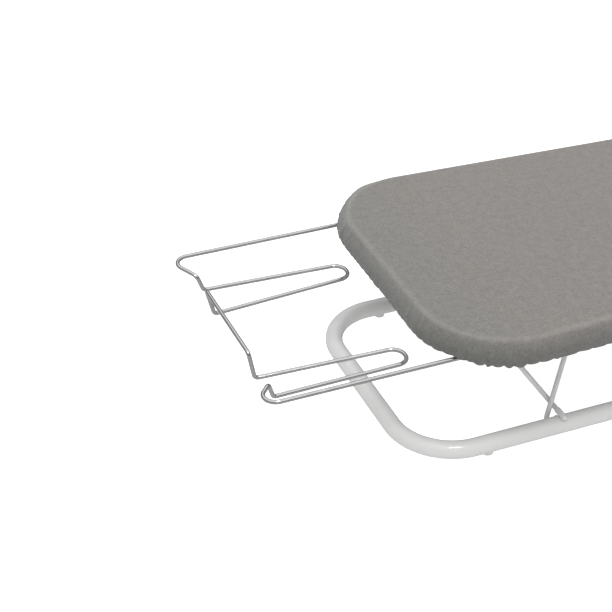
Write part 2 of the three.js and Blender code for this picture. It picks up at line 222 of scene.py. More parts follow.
def make_chrome():
    """Polished nickel-chrome wire with faint drawing lines and a little haze."""
    material, graph, shader = new_material("chrome_wire", {"Metallic": 1.0})
    place = graph.place()
    drawn = graph.noise(graph.stretch(place, (40, 2400, 2400)), 1, 2)
    haze = graph.noise(place, 85, 4, 0.6)
    tone = graph.mix(haze, grey(0.60, 0.004), grey(0.72, 0.002))
    rough = graph.ramp(haze, 0.3, 0.75, 0.10, 0.2)
    connect(graph, shader, tone, rough, graph.bump(drawn, 0.000015, 0.35))
    return material


def make_plastic():
    """White moulded plastic with a fine spark-eroded grain."""
    constants = {"Subsurface Weight": 0.12, "Subsurface Scale": 0.002, "IOR": 1.49}
    material, graph, shader = new_material("white_plastic", constants)
    place = graph.place()
    flow = graph.noise(graph.stretch(place, (40, 160, 40)), 1, 3)
    tone = graph.mix(flow, grey(0.70, 0.012), grey(0.77, 0.008))
    grain = graph.noise(place, 3600, 1)
    rough = graph.ramp(grain, 0.3, 0.7, 0.42, 0.56)
    connect(graph, shader, tone, rough, graph.bump(grain, 0.00003, 0.6))
    return material


def make_felt():
    """Needled off-white felt: tangled fibres and darker flecks."""
    constants = {"Roughness": 0.95, "Sheen Weight": 0.4, "Sheen Roughness": 0.6}
    material, graph, shader = new_material("needled_felt", constants)
    place = graph.place()
    warp = graph.node("ShaderNodeTexNoise", {"Vector": place, "Scale": 160.0}).outputs["Color"]
    bent = graph.mix(0.004, place, warp)
    strand_a = graph.noise(graph.stretch(bent, (300, 2600, 900)), 1, 3)
    strand_b = graph.noise(graph.stretch(bent, (2600, 300, 900)), 1, 3)
    fibre = graph.math("MAXIMUM", strand_a, strand_b)
    fleck = graph.ramp(graph.noise(place, 520, 2), 0.64, 0.70)
    tone = graph.mix(fibre, (0.52, 0.49, 0.43, 1), (0.78, 0.75, 0.68, 1))
    tone = graph.mix(graph.math("MULTIPLY", fleck, 0.4), tone, grey(0.3, 0.05))
    graph.plug(tone, shader.inputs["Base Color"])
    lump = graph.bump(graph.noise(place, 90, 3), 0.0006, 0.5)
    graph.plug(graph.bump(fibre, 0.0004, 0.7, lump), shader.inputs["Normal"])
    return material


THREAD_PITCH = 0.55 * MM
RIDGE_AT = 7.6  # millimetres of cut from the flat top's edge to the painted highlight along the ridge


def thread_shade(graph, along, across):
    """Each thread has its own shade, which drifts along its length."""
    row = graph.math("FLOOR", across)
    drift = graph.math("MULTIPLY", along, 0.06)
    vector = graph.node("ShaderNodeCombineXYZ", {0: drift, 1: graph.math("MULTIPLY", row, 7.31)}).outputs[0]
    return graph.noise(vector, 1, 3, 0.6)


def make_fabric():
    """Grey melange plain weave in cotton. Its coordinates are the flat cut's, stored on the mesh."""
    constants = {"Sheen Weight": 0.28, "Sheen Roughness": 0.55, "Specular IOR Level": 0.2}
    material, graph, shader = new_material("melange_cotton", constants)
    cut = graph.node("ShaderNodeAttribute", attribute_name="cut").outputs["Vector"]
    parts = graph.node("ShaderNodeSeparateXYZ", {0: cut}).outputs
    warp = graph.math("DIVIDE", parts[0], THREAD_PITCH)
    weft = graph.math("DIVIDE", parts[1], THREAD_PITCH)
    wave_a = graph.math("SINE", graph.math("MULTIPLY", warp, math.pi))
    wave_b = graph.math("SINE", graph.math("MULTIPLY", weft, math.pi))
    size_a = graph.math("ABSOLUTE", wave_a)
    size_b = graph.math("ABSOLUTE", wave_b)
    on_top = graph.math("GREATER_THAN", graph.math("MULTIPLY", wave_a, wave_b), 0.0)
    ridge_a = graph.math("MULTIPLY", size_a, graph.math("SQRT", size_b))
    ridge_b = graph.math("MULTIPLY", size_b, graph.math("SQRT", size_a))
    height = graph.choose(on_top, ridge_b, ridge_a)
    thread = graph.choose(on_top, thread_shade(graph, warp, weft), thread_shade(graph, weft, warp))
    flat = graph.node("ShaderNodeCombineXYZ", {0: parts[0], 1: parts[1]}).outputs[0]
    fibre = graph.noise(flat, 5200, 2, 0.6)
    mottle = graph.noise(flat, 420, 4, 0.62)
    blotch = graph.noise(flat, 125, 3, 0.55)
    cloud = graph.noise(flat, 7, 3)
    melange = 0.5
    for signal, weight in ((thread, 0.75), (mottle, 0.65), (blotch, 0.32), (fibre, 0.25)):
        melange = graph.math("MULTIPLY_ADD", graph.math("SUBTRACT", signal, 0.5), weight, melange)
    down = graph.math("DIVIDE", parts[2], MM)
    # Painted shade: the cloth turns darker down the side, from 8.5 to 24 mm past the flat top's edge.
    painted_side_shade = graph.ramp(down, 8.5, 24.0)
    dark = graph.mix(painted_side_shade, (0.149, 0.143, 0.136, 1), (0.089, 0.088, 0.084, 1))
    light = graph.mix(painted_side_shade, (0.433, 0.409, 0.387, 1), (0.258, 0.256, 0.244, 1))
    tone = graph.mix(graph.ramp(melange, 0.1, 0.9), dark, light)
    # Painted highlight: a lighter band along the ridge where the cloth turns over the edge.
    off_ridge = graph.math("POWER", graph.math("MULTIPLY", graph.math("SUBTRACT", down, RIDGE_AT), 0.32), 2.0)
    painted_ridge_highlight = graph.math("MULTIPLY", graph.math("EXPONENT", graph.math("MULTIPLY", off_ridge, -1.0)), 0.2)
    tone = graph.mix(painted_ridge_highlight, tone, (0.58, 0.56, 0.54, 1))
    cool = graph.mix(cloud, (0.99, 0.995, 0.98, 1), (1.01, 0.975, 0.97, 1))
    # Darker and cooler towards the blunt end.
    blunt_end = graph.ramp(parts[0], 0.12, 0.03, 0, 1)
    cool = graph.mix(blunt_end, cool, (0.93, 0.95, 0.93, 1))
    tinted = graph.mix(1.0, tone, cool, "MULTIPLY")
    # Painted shade: the cloth is darker down in the weave, between the raised threads.
    painted_weave_shade = graph.ramp(height, 0.0, 0.5, 0.78, 1.0)
    shaded = graph.node("ShaderNodeVectorMath", {0: tinted, 3: painted_weave_shade}, operation="SCALE")
    rough = graph.ramp(height, 0, 1, 0.95, 0.82)
    slub = graph.bump(mottle, 0.00015, 0.5)
    fuzz = graph.bump(fibre, 0.00004, 0.5, slub)
    connect(graph, shader, shaded.outputs[0], rough, graph.bump(height, 0.00016, 0.8, fuzz))
    return material


def make_elastic():
    """Knitted elastic band: ribs across its width, with a soft fuzz."""
    constants = {"Sheen Weight": 0.3, "Sheen Roughness": 0.5}
    material, graph, shader = new_material("knitted_elastic", constants)
    cut = graph.node("ShaderNodeAttribute", attribute_name="cut").outputs["Vector"]
    parts = graph.node("ShaderNodeSeparateXYZ", {0: cut}).outputs
    rib = graph.math("SINE", graph.math("MULTIPLY", parts[0], math.tau / (0.9 * MM)))
    loop = graph.math("SINE", graph.math("MULTIPLY", parts[1], math.tau / (0.6 * MM)))
    height = graph.math("MULTIPLY_ADD", loop, 0.4, rib)
    fuzz = graph.noise(graph.place(), 2600, 2)
    # Painted shade: the knit is darker in the grooves between its ribs and lighter on their tops.
    tone = graph.mix(graph.ramp(height, -1.4, 1.4), grey(0.44, 0.02), grey(0.68, 0.02))
    tone = graph.mix(graph.math("MULTIPLY", fuzz, 0.3), tone, grey(0.5, 0.03))
    rough = graph.ramp(fuzz, 0.3, 0.7, 0.75, 0.92)
    connect(graph, shader, tone, rough, graph.bump(height, 0.0001, 0.7))
    return material


def make_floor_paint():
    """Matt white studio floor with a glow of its own, so that only a faint shadow shows."""
    constants = {"Emission Color": grey(1.0), "Specular IOR Level": 0.1}
    material, graph, shader = new_material("studio_floor", constants)
    rays = graph.node("ShaderNodeLightPath").outputs
    glow = graph.ramp(rays["Is Camera Ray"], 0.0, 1.0, 0.45, 0.9)
    mirrored = rays["Is Glossy Ray"]
    glow = graph.math("MULTIPLY", glow, graph.ramp(mirrored, 0, 1, 1.0, 0.2))
    graph.plug(glow, shader.inputs["Emission Strength"])
    cloud = graph.noise(graph.place(), 1.5, 2)
    tone = graph.mix(cloud, grey(0.60), grey(0.62))
    graph.plug(graph.mix(mirrored, tone, grey(0.36)), shader.inputs["Base Color"])
    graph.plug(graph.ramp(cloud, 0.3, 0.7, 0.85, 0.95), shader.inputs["Roughness"])
    return material


PAINT = make_paint()
ZINC = make_zinc()
CHROME = make_chrome()
PLASTIC = make_plastic()
FELT = make_felt()
FABRIC = make_fabric()
ELASTIC = make_elastic()


# ------------------------ stage
def add_floor():
    half = 9.0
    corners = [(-half, -half, 0), (half, -half, 0), (half, half, 0), (-half, half, 0)]
    mesh = bpy.data.meshes.new("floor")
    mesh.from_pydata(corners, [], [(0, 1, 2, 3)])
    floor = new_object("floor", mesh)
    floor.data.materials.append(make_floor_paint())


def add_world():
    """A white room, dim towards the horizon, which gives the metal its dark lines."""
    world = bpy.data.worlds.new("studio")
    world.use_nodes = True
    bpy.context.scene.world = world
    graph = Graph(world.node_tree)
    background = world.node_tree.nodes["Background"]
    height = graph.node("ShaderNodeSeparateXYZ", {0: graph.node("ShaderNodeTexCoord").outputs["Generated"]})
    room = graph.mix(graph.ramp(height.outputs[2], 0.0, 0.9), grey(0.2), grey(1.5))
    mirrored = graph.mix(graph.ramp(height.outputs[2], 0.36, 0.60), grey(0.34), grey(1.85))
    rays = graph.node("ShaderNodeLightPath").outputs
    room = graph.mix(rays["Is Glossy Ray"], room, mirrored)
    graph.plug(graph.mix(rays["Is Camera Ray"], room, grey(2.0)), background.inputs["Color"])
    background.inputs["Strength"].default_value = 0.5


def add_lights():
    """A broad key and two fills, which don't mirror, and a small lamp that shows only as a highlight."""
    data = bpy.data.lights.new("key", "SUN")
    data.energy = 1.33
    data.angle = math.radians(28)
    key = new_object("key", data)
    look_at(key, direction(math.radians(-38), math.radians(62)), Vector((0, 0, 0)))
    spark = add_softbox("spark", -10, 60, 2.4, (0.6, 0.6), 17)
    spark.visible_diffuse = False
    low_fill = add_softbox("low_fill", 38, 14, 2.6, (1.4, 0.8), 4.4)
    back_fill = add_softbox("back_fill", -176, 40, 2.6, (1.6, 1.0), 9.0)
    for light in (key, low_fill, back_fill):
        light.visible_glossy = False


bpy.context.scene.view_settings.view_transform = "Standard"
add_camera()
add_floor()
add_world()
add_lights()


# ------------------------ mesh helpers
def make_piece(name, points, faces, body, material, flat_angle=None, weld=False):
    """A mesh object, shaded smooth, that rides on a body. Faces meeting above flat_angle keep a hard edge."""
    mesh = bpy.data.meshes.new(name)
    mesh.from_pydata([tuple(point) for point in points], [], [tuple(face) for face in faces])
    shell = bmesh.new()
    shell.from_mesh(mesh)
    if weld:
        bmesh.ops.remove_doubles(shell, verts=shell.verts, dist=1e-6)
    bmesh.ops.recalc_face_normals(shell, faces=shell.faces)
    shell.to_mesh(mesh)
    shell.free()
    piece = new_object(name, mesh)
    mesh.materials.append(material)
    mesh.shade_smooth()
    if flat_angle is not None:
        mesh.set_sharp_from_angle(angle=math.radians(flat_angle))
    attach(piece, body)
    return piece


def store_cut(piece, cut):
    """Keeps each vertex's place on the flat cloth, which the weave follows."""
    attribute = piece.data.attributes.new("cut", "FLOAT_VECTOR", "POINT")
    attribute.data.foreach_set("vector", np.asarray(cut, np.float32).ravel())


def bent_line(corners, bends, arc_steps=12):
    """(point, direction) pairs along straight stretches joined by true arcs."""
    line = [(corners[0], (corners[1] - corners[0]).normalized())]
    for before, corner, after, radius in zip(corners, corners[1:], corners[2:], bends):
        into = (corner - before).normalized()
        out = (after - corner).normalized()
        turn = into.angle(out)
        radius = radius * MM
        start = corner - into * (radius * math.tan(turn / 2))
        inward = (out - into * out.dot(into)).normalized()
        count = max(3, math.ceil(arc_steps * turn / (math.pi / 2)))
        for step in range(count + 1):
            angle = turn * step / count
            point = start + into * (radius * math.sin(angle)) + inward * (radius * (1 - math.cos(angle)))
            line.append((point, into * math.cos(angle) + inward * math.sin(angle)))
    line.append((corners[-1], (corners[-1] - corners[-2]).normalized()))
    return line


def ring_around(point, normal, binormal, radius, sides):
    """Points of a circle about a point."""
    angles = [math.tau * k / sides for k in range(sides)]
    return [point + (normal * math.cos(a) + binormal * math.sin(a)) * radius for a in angles]


def bridge(first, second, sides):
    """Quads between two rings of points, given by the index of each ring's first point."""
    return [(first + k, first + (k + 1) % sides, second + (k + 1) % sides, second + k) for k in range(sides)]


def end_caps(last, sides):
    """Faces that close the first ring and the last one, given the last one's first point."""
    return [tuple(reversed(range(sides))), tuple(range(last, last + sides))]


def sweep(line, radius, sides, dome=0, bore=None):
    """Points and faces of a round bar along the line. Dome rings round its ends; a bore makes it a tube."""
    normal = line[0][1].orthogonal().normalized()
    stations = []
    for index, (point, tangent) in enumerate(line):
        if index:
            normal = line[index - 1][1].rotation_difference(tangent) @ normal
        normal = (normal - tangent * normal.dot(tangent)).normalized()
        stations.append((point, tangent, normal))

    def dome_ring(station, step, out):
        point, tangent, normal = station
        angle = math.pi / 2 * (step + 0.35) / dome
        centre = point + tangent * (out * radius * math.cos(angle))
        return centre, tangent, normal, radius * math.sin(angle)

    rings = [dome_ring(stations[0], step, -1) for step in range(dome)]
    rings += [(*station, radius) for station in stations]
    rings += [dome_ring(stations[-1], step, 1) for step in reversed(range(dome))]
    points, faces = [], []
    for point, tangent, normal, size in rings:
        points += ring_around(point, normal, tangent.cross(normal), size, sides)
    for index in range(len(rings) - 1):
        faces += bridge(index * sides, (index + 1) * sides, sides)
    last = (len(rings) - 1) * sides
    if bore is None:
        return points, faces + end_caps(last, sides)
    inner = len(points)
    for point, tangent, normal, size in rings:
        points += ring_around(point, normal, tangent.cross(normal), bore, sides)
    for index in range(len(rings) - 1):
        faces += bridge(inner + (index + 1) * sides, inner + index * sides, sides)
    faces += bridge(inner, 0, sides)
    faces += bridge(last, inner + last, sides)
    return points, faces


def lathe(profile, centre, axis, sides=32):
    """A turned body: profile gives (radius, height) in millimetres from its bottom on the axis to its top."""
    up = Vector(axis).normalized()
    normal = up.orthogonal().normalized()
    points, faces = [], []
    for radius, height in profile:
        middle = centre + up * (height * MM)
        points += ring_around(middle, normal, up.cross(normal), max(radius, 0.02) * MM, sides)
    for index in range(len(profile) - 1):
        faces += bridge(index * sides, (index + 1) * sides, sides)
    return points, faces + end_caps((len(profile) - 1) * sides, sides)


def join_parts(*parts):
    """Several (points, faces) pairs as one."""
    points, faces = [], []
    for more_points, more_faces in parts:
        base = len(points)
        points += more_points
        faces += [tuple(index + base for index in face) for face in more_faces]
    return points, faces


def apply_modifiers(piece):
    """Replaces the piece's mesh by what its modifiers make of it."""
    bpy.context.view_layer.update()
    graph = bpy.context.evaluated_depsgraph_get()
    evaluated = piece.evaluated_get(graph)
    mesh = bpy.data.meshes.new_from_object(evaluated, preserve_all_data_layers=True, depsgraph=graph)
    piece.modifiers.clear()
    piece.data = mesh


def cut_away(piece, tools):
    """Cuts each tool's solid out of the piece."""
    cutters = []
    for index, (points, faces) in enumerate(tools):
        mesh = bpy.data.meshes.new(f"cutter_{index}")
        mesh.from_pydata([tuple(point) for point in points], [], faces)
        cutter = new_object(f"cutter_{index}", mesh)
        modifier = piece.modifiers.new("cut", "BOOLEAN")
        modifier.object = cutter
        modifier.solver = "EXACT"
        cutters.append(cutter)
    apply_modifiers(piece)
    for cutter in cutters:
        bpy.data.objects.remove(cutter)


# ------------------------ base ring
TUBE_R = 9
TUBE_WALL = 1.2
TUBE_Z = 12
HALF_RING = 127
RING_CORNER = 60
SEAM_X = RING_LENGTH / 2
SEAM_HALF_GAP = 0.2
PAD_INSET = 74
LINK_FOOT_X = 144
LEG_WIRE_R = 2.5
BRACE_FOOT_X = 152.6
BRACE_FOOT_Z = 24.6
SLEEVE_FROM_Y = 119.2
BEAD_FROM_Y = 121.5
BEAD_R = 0.8


def build_ring():
    """One bent tube whose ends butt together, drilled on its inner side for the link frames' stubs."""
    plan = [(SEAM_X + SEAM_HALF_GAP, HALF_RING), (RING_LENGTH, HALF_RING), (RING_LENGTH, -HALF_RING),
            (0, -HALF_RING), (0, HALF_RING), (SEAM_X - SEAM_HALF_GAP, HALF_RING)]
    line = bent_line([at(x, y, TUBE_Z) for x, y in plan], [RING_CORNER] * 4, 24)
    points, faces = sweep(line, TUBE_R * MM, 48, bore=(TUBE_R - TUBE_WALL) * MM)
    ring = make_piece("ring_tube", points, faces, "base", PAINT)
    holes = []
    for dx in STATIONS.values():
        for side in SIDES.values():
            mouth = at(LINK_FOOT_X + dx, side * (HALF_RING - TUBE_R), TUBE_Z)
            ends = [mouth + Vector((0, step * MM, 0)) for step in (-4, 4)]
            holes.append(sweep([(end, Vector((0, 1, 0))) for end in ends], (LEG_WIRE_R + 0.5) * MM, 24))
    cut_away(ring, holes)
    ring.data.shade_smooth()
    ring.data.set_sharp_from_angle(angle=math.radians(40))
    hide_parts("base_ring_tube")


def build_sleeves():
    """Short capped sleeves across the tube's crest, each held by a painted weld bead on both sides."""
    profile = [(0, 14.1), (2.45, 14.0), (2.66, 13.7), (2.66, 0.1), (2.75, -0.1), (2.92, 0.0), (3.05, 0.3),
               (3.05, 13.6), (2.92, 14.7), (2.45, 15.6), (1.7, 16.3), (0.8, 16.65), (0, 16.7)]
    for station, dx in STATIONS.items():
        for side_name, side in SIDES.items():
            x = BRACE_FOOT_X + dx
            tube = lathe(profile, at(x, side * SLEEVE_FROM_Y, BRACE_FOOT_Z), (0, side, 0))
            beads = []
            for lean in (-1, 1):
                line = []
                for step in range(9):
                    y = BEAD_FROM_Y + step * 1.05
                    crest = math.sqrt((TUBE_R + 0.35) ** 2 - (y - HALF_RING) ** 2)
                    wander = 0.18 * math.sin(step * 2.1 + dx + side)
                    line.append(at(x + lean * (2.6 + wander), side * y, TUBE_Z + crest))
                turned = [(b - a).normalized() for a, b in zip(line, line[1:] + [line[-1] * 2 - line[-2]])]
                beads.append(sweep(list(zip(line, turned)), BEAD_R * MM, 14, dome=3))
            points, faces = join_parts(tube, *beads)
            name = f"brace_sleeve_{station}_{side_name}"
            sleeve = make_piece(f"sleeve_{station}_{side_name}", points, faces, "base", PAINT, 40)
            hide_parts(name)


def build_foot_pads():
    """Round plastic feet, each with its top pressed up under the tube."""
    profile = [(0, 0), (3.2, 0), (4.2, 0.15), (5.0, 0.6), (5.4, 1.3), (5.4, 4.2), (5.1, 4.9), (4.6, 5.15),
               (0, 5.2)]
    for end, x in (("left", PAD_INSET), ("right", RING_LENGTH - PAD_INSET)):
        for side_name, side in SIDES.items():
            points, faces = lathe(profile, at(x, side * HALF_RING, 0), (0, 0, 1))
            pad = make_piece(f"pad_{end}_{side_name}", points, faces, "base", PLASTIC, 50)
            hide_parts(f"foot_pad_{end}_{side_name}")


# ------------------------ folding legs
LEG_TOP_BEND = 10


def portal(kind, station, foot_x, foot_z, lean, top_z, half_span, stub_y, foot_bend):
    """A leg frame: a stub, up one side, across under the board, down the other side and out to a stub."""
    top_x = foot_x + (top_z - foot_z) * math.tan(math.radians(lean))
    half = [(foot_x, stub_y, foot_z), (foot_x, half_span, foot_z), (top_x, half_span, top_z)]
    route = [(x, -y, z) for x, y, z in half] + half[::-1]
    corners = [at(x + STATIONS[station], y, z) for x, y, z in route]
    line = bent_line(corners, [foot_bend, LEG_TOP_BEND, LEG_TOP_BEND, foot_bend], 14)
    points, faces = sweep(line, LEG_WIRE_R * MM, 24, dome=3)
    body, node = f"{kind}_{station}", f"{kind}_frame_{station}"
    leg = make_piece(body, points, faces, body, PAINT, 50)
    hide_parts(node)


def build_legs():
    # foot, lean in degrees, top's height, half span, end of the stubs and bend at the foot
    shapes = {
        "link": (LINK_FOOT_X, TUBE_Z, 10.33, 118, 114.5, 121.5, 3.2),
        "brace": (BRACE_FOOT_X, BRACE_FOOT_Z, -35.7, 106, 108.5, 130.4, 5),
    }
    for station in STATIONS:
        for kind, shape in shapes.items():
            portal(kind, station, *shape)


# ------------------------ iron rest
RAIL_Y = 129.3
RAIL_Z = 125.5
REST_WIRE_R = 2.15
# Corners of the wire and the bend at each, from the rail's inner end: end loop, drop, hairpin finger and
# raised heel bar. The two halves are bent a little differently.
REST_HALVES = {
    "far": [
        ((148, RAIL_Y, RAIL_Z), None),
        ((-161.8, RAIL_Y, RAIL_Z), 13),
        ((-143, 91, RAIL_Z - 0.5), 6),
        ((-135.5, 94.6, 104.7), 4.5),
        ((12, 90, 102.6), 12.2),
        ((12, 65.4, 102.4), 12.2),
        ((-137.3, 56.8, 100.2), 4.5),
        ((-144.8, 56, 129.9), 4.5),
    ],
    "near": [
        ((148, RAIL_Y, RAIL_Z), None),
        ((-165.5, RAIL_Y, RAIL_Z), 11.5),
        ((-140.5, 101.5, RAIL_Z - 0.5), 7),
        ((-133.5, 95, 104.7), 4.5),
        ((5, 90, 102.6), 12.2),
        ((5, 65.4, 102.4), 12.2),
        ((-137.3, 56.8, 100.2), 4.5),
        ((-142.8, 56, 129.9), 4.5),
    ],
}


def build_rest():
    """One wire: the far half from its rail to the heel bar, then the near half back to its rail."""
    mirrored = [((x, -y, z), bend) for (x, y, z), bend in reversed(REST_HALVES["near"])]
    route = REST_HALVES["far"] + mirrored
    corners = [at(*point) for point, _ in route]
    bends = [bend for _, bend in route[1:-1]]
    points, faces = sweep(bent_line(corners, bends, 14), REST_WIRE_R * MM, 28, dome=3)
    rest = make_piece("rest_wire", points, faces, "iron_rest", CHROME, 50)
    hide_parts("iron_rest_wire")


# ------------------------ board outline
cover_low, cover_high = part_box("cover")
BLUNT_X = (cover_low.x - BENCH_X) / MM
NOSE_X = (cover_high.x - BENCH_X) / MM
HALF_WIDTH = cover_high.y / MM
TOP_Z = cover_high.z / MM
BLUNT_CORNER = 88
SHOULDER_X = 360
SHOULDER_REACH = 160
NOSE_BLUNTNESS = 90
TAPER = 0.045


def outline(count):
    """Rows of (x, y, normal x, normal y, distance round) at even steps round the outline, from the blunt
    end's middle by the far side to the nose and back by the near side."""
    dense = [(BLUNT_X, y, -1, 0) for y in np.linspace(0, HALF_WIDTH - BLUNT_CORNER, 60, endpoint=False)]
    centre = (BLUNT_X + BLUNT_CORNER, HALF_WIDTH - BLUNT_CORNER)
    for angle in np.linspace(0, math.pi / 2 + math.atan(TAPER), 120):
        c, s = math.cos(angle), math.sin(angle)
        dense.append((centre[0] - BLUNT_CORNER * c, centre[1] + BLUNT_CORNER * s, -c, s))
    start_x, start_y, nx, ny = dense[-1]
    side = np.linspace(start_x, SHOULDER_X, 120, endpoint=False)[1:]
    dense += [(x, start_y - TAPER * (x - start_x), nx, ny) for x in side]
    shoulder_y = start_y - TAPER * (SHOULDER_X - start_x)
    reach = (SHOULDER_X + SHOULDER_REACH, shoulder_y - SHOULDER_REACH * TAPER)
    control = np.array([(SHOULDER_X, shoulder_y), reach, (NOSE_X, NOSE_BLUNTNESS), (NOSE_X, 0)])
    for t in np.linspace(0, 1, 400):
        weights = np.array([(1 - t) ** 3, 3 * t * (1 - t) ** 2, 3 * t * t * (1 - t), t**3])
        slopes = np.array([-3 * (1 - t) ** 2, 3 * (1 - t) * (1 - 3 * t), 3 * t * (2 - 3 * t), 3 * t * t])
        x, y = weights @ control
        dx, dy = slopes @ control
        size = math.hypot(dx, dy)
        dense.append((x, y, -dy / size, dx / size))
    dense = np.array(dense)
    dense = np.vstack([dense, (dense[-2::-1] * [1, -1, 1, -1])])
    steps = np.hypot(*np.diff(dense[:, :2], axis=0).T)
    distance = np.concatenate([[0], np.cumsum(steps)])
    wanted = np.linspace(0, distance[-1], count, endpoint=False)
    columns = [np.interp(wanted, distance, dense[:, k]) for k in range(4)]
    rows = np.column_stack(columns + [wanted])
    rows[:, 2:4] /= np.hypot(rows[:, 2], rows[:, 3])[:, None]
    return rows


def to_row_frame(points):
    """Bench points in millimetres, as places in the row frame."""
    return np.asarray(points, float) * MM + [BENCH_X, 0, 0]


def grid_faces(rows, count, closed=False):
    """Quads between rings of the same count; a closed section joins the last ring to the first."""
    faces = []
    for row in range(rows if closed else rows - 1):
        after = (row + 1) % rows
        for k in range(count):
            nxt = (k + 1) % count
            faces.append((row * count + k, row * count + nxt, after * count + nxt, after * count + k))
    return faces


def build_band(name, section, body, material, count=600, ripple=None):
    """A closed section of (inset, z) points carried round the outline."""
    rows = outline(count)
    rings = []
    for inset, z in section:
        offset = inset + (0 if ripple is None else ripple(rows[:, 4]))
        rings.append(np.column_stack([rows[:, 0] - offset * rows[:, 2], rows[:, 1] - offset * rows[:, 3],
                                      np.full(count, z)]))
    points = to_row_frame(np.vstack(rings))
    faces = grid_faces(len(section), count, closed=True)
    band = make_piece(name, points, faces, body, material, 50)
    steps = [math.dist(a, b) for a, b in zip(section, section[1:])]
    along = np.concatenate([[0], np.cumsum(steps)])
    cut = [(rows[k, 4] * MM, along[ring] * MM, 0) for ring in range(len(section)) for k in range(count)]
    store_cut(band, cut)
    return band


# ------------------------ steel board
RIM_OUTER = 5
RIM_INNER = 6.5
RIM_BOTTOM_Z = 128.4
SHEET_TOP_Z = 144.2
SHEET_THICK = 1.2
VENT_R = 9


def build_rim():
    """The sheet's turned-down rim, with its lower edge rolled into a bead."""
    rim = build_band("rim", [(RIM_OUTER, RIM_BOTTOM_Z + 1.6), (RIM_OUTER - 0.1, RIM_BOTTOM_Z + 0.9),
                             (RIM_OUTER + 0.15, RIM_BOTTOM_Z + 0.3), (RIM_OUTER + 0.75, RIM_BOTTOM_Z),
                             (RIM_INNER, RIM_BOTTOM_Z + 0.05), (RIM_INNER + 0.6, RIM_BOTTOM_Z + 0.45),
                             (RIM_INNER + 0.8, RIM_BOTTOM_Z + 1.1), (RIM_INNER + 0.5, RIM_BOTTOM_Z + 1.7),
                             (RIM_INNER, RIM_BOTTOM_Z + 2.0), (RIM_INNER, SHEET_TOP_Z - 0.3),
                             (RIM_INNER - 0.4, SHEET_TOP_Z + 0.2), (RIM_OUTER + 0.4, SHEET_TOP_Z + 0.2),
                             (RIM_OUTER, SHEET_TOP_Z - 0.3)],
                     "board", PAINT)
    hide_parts("board_rim")


def vent_centres():
    """A staggered field of steam vents, kept clear of the edge."""
    edge = outline(400)
    pitch_x, pitch_y, margin = 46, 42, 24
    centres = []
    for column in range(16):
        for row in range(-4, 5):
            x = BLUNT_X + 30 + column * pitch_x
            y = (row + (column % 2) / 2) * pitch_y
            gaps = (edge[:, 0] - x) * edge[:, 2] + (edge[:, 1] - y) * edge[:, 3]
            nearest = np.argmin(np.hypot(edge[:, 0] - x, edge[:, 1] - y))
            if gaps[nearest] > margin:
                centres.append((x, y))
    return centres


def rounded_hexagon(x, y, radius, steps=4):
    """A six-sided loop with rounded corners."""
    loop = []
    rounding = radius * 0.3
    for corner in range(6):
        angle = math.tau * (corner + 0.5) / 6
        middle = (radius - rounding * 1.1547) * np.array([math.cos(angle), math.sin(angle)])
        for step in range(steps + 1):
            turn = angle + math.radians(60) * (step / steps - 0.5)
            loop.append((x + middle[0] + rounding * math.cos(turn),
                         y + middle[1] + rounding * math.sin(turn)))
    return loop


def build_sheet():
    """Zinc-plated sheet with punched vents, whose edges are pressed down into short collars."""
    curve = bpy.data.curves.new("sheet_outline", "CURVE")
    curve.dimensions = "2D"
    curve.fill_mode = "BOTH"
    curve.extrude = SHEET_THICK / 2 * MM
    rows = outline(420)
    inset = RIM_INNER + 0.3
    edge = [(x - inset * nx, y - inset * ny) for x, y, nx, ny, _ in rows]
    centres = vent_centres()
    loops = [edge] + [rounded_hexagon(x, y, VENT_R) for x, y in centres]
    for loop in loops:
        spline = curve.splines.new("POLY")
        spline.points.add(len(loop) - 1)
        for point, (x, y) in zip(spline.points, loop):
            point.co = (*at(x, y, 0).xy, 0, 1)
        spline.use_cyclic_u = True
    flat = new_object("sheet_outline", curve)
    bpy.context.view_layer.update()
    mesh = bpy.data.meshes.new_from_object(flat.evaluated_get(bpy.context.evaluated_depsgraph_get()))
    middle_z = SHEET_TOP_Z - SHEET_THICK / 2
    plate = ([Vector((v.co.x, v.co.y, v.co.z + middle_z * MM)) for v in mesh.vertices],
             [tuple(p.vertices) for p in mesh.polygons])
    bpy.data.objects.remove(flat)
    collar_section = [(1.0, -0.1), (1.0, -1.0), (0.9, -1.7), (0.935, -1.95), (1.01, -1.9), (1.06, -1.1),
                      (1.12, -0.5)]
    collars = []
    for x, y in centres:
        points, count = [], 0
        for scale, drop in collar_section:
            loop = rounded_hexagon(x, y, VENT_R * scale)
            count = len(loop)
            points += [at(px, py, SHEET_TOP_Z - SHEET_THICK * 0.5 + drop) for px, py in loop]
        collars.append((points, grid_faces(len(collar_section), count, closed=True)))
    points, faces = join_parts(plate, *collars)
    sheet = make_piece("vented_sheet", points, faces, "board", ZINC, 30, weld=True)
    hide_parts("board_sheet")


def build_rivets():
    """Low domed heads, closed round under the channels."""
    profile = [(0, -1.5), (1.4, -1.42), (2.4, -1.1), (3.0, -0.6), (3.2, -0.1), (3.2, 0.05), (0, 0.08)]
    for side_name, side in SIDES.items():
        for index in range(1, 5):
            low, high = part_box(f"rivet_{side_name}_{index}")
            centre = Vector(((low.x + high.x) / 2, (low.y + high.y) / 2, high.z + 0.2 * MM))
            points, faces = lathe(profile, centre, (0, 0, 1), 28)
            rivet = make_piece(f"rivet_head_{side_name}_{index}", points, faces, "board", ZINC, 60)
            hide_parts(f"rivet_{side_name}_{index}")


# ------------------------ felt pad and elastic
def smooth_step(value):
    value = np.clip(value, 0, 1)
    return value * value * (3 - 2 * value)


SPINE = (BLUNT_X + 95, NOSE_X - 120)


def spine_point(rows):
    """Where each outline point shrinks to: the nearest place on the board's middle line."""
    return np.column_stack([np.clip(rows[:, 0], *SPINE), np.zeros(len(rows))])


